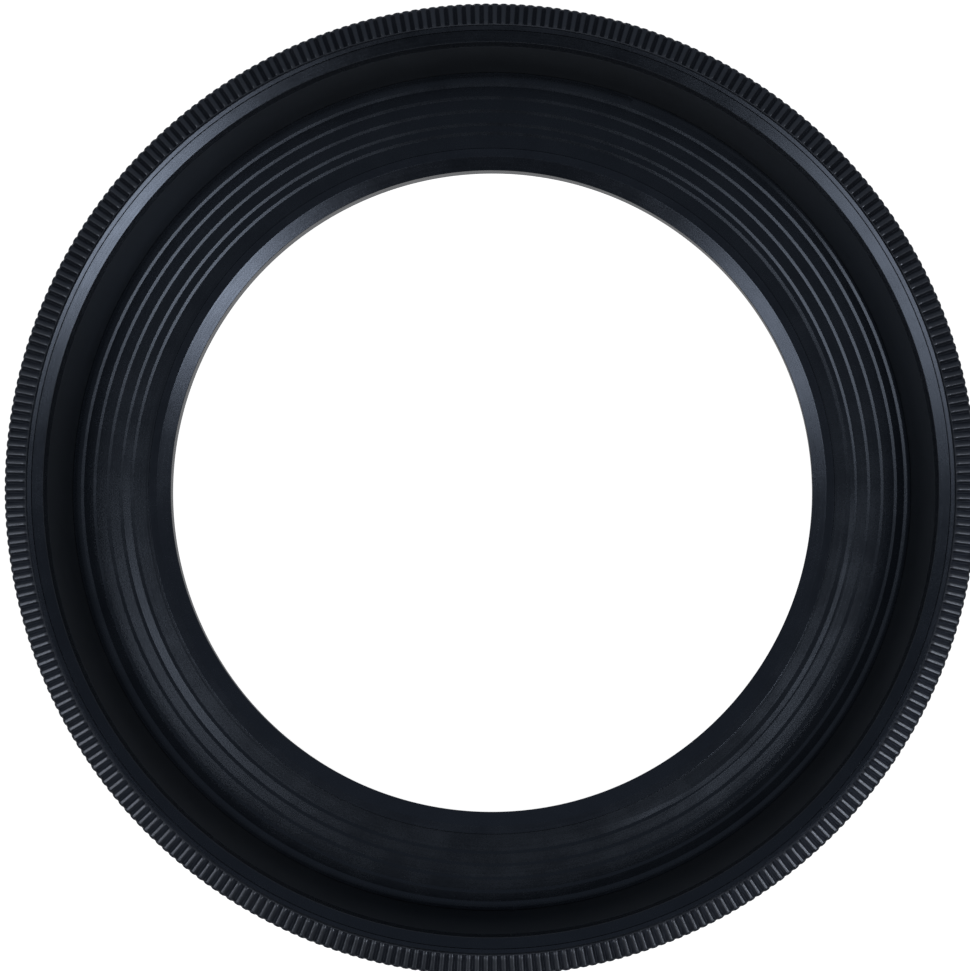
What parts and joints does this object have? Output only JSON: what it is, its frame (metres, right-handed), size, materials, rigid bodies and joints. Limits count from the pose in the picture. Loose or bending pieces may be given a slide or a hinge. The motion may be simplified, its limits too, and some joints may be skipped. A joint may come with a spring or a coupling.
{
  "type": "lens hood",
  "caption": "Round screw-in metal lens hood: a shallow cup with a knurled front grip ring, bevelled rim, spiral-grooved floor and a male filter thread at the rear.",
  "frame": {"origin": "centre of the rear thread's end face, which is the bottom of the part", "axes": "+Z along the optical axis towards the hood's open front; the part is round about Z, and one grub screw points along +Y"},
  "size_m": [0.07, 0.07, 0.0159],
  "materials": {
    "mount_metal": "satin black anodised",
    "barrel_metal": "matt black anodised",
    "baffle_metal": "matt black anodised",
    "bezel_metal": "satin black anodised",
    "grip_metal": "satin black anodised, straight knurl",
    "screw_steel": "blackened steel"
  },
  "bodies": {
    "mount": {"mount_ring": "mount_metal"},
    "hood": {"barrel": "barrel_metal", "baffle_ring": "baffle_metal", "grip_ring": "grip_metal", "grub_screw_1": "screw_steel", "grub_screw_2": "screw_steel", "grub_screw_3": "screw_steel"},
    "bezel": {"front_bezel": "bezel_metal"}
  },
  "joints": [
    {"name": "hood_turn", "type": "hinge", "parent": "mount", "child": "hood", "pos_m": [0, 0, 0.0057], "axis": [0, 0, 1], "range_deg": [0, 1020]},
    {"name": "bezel_turn", "type": "hinge", "parent": "hood", "child": "bezel", "pos_m": [0, 0, 0.0131], "axis": [0, 0, 1], "range_deg": [0, 1170]}
  ]
}
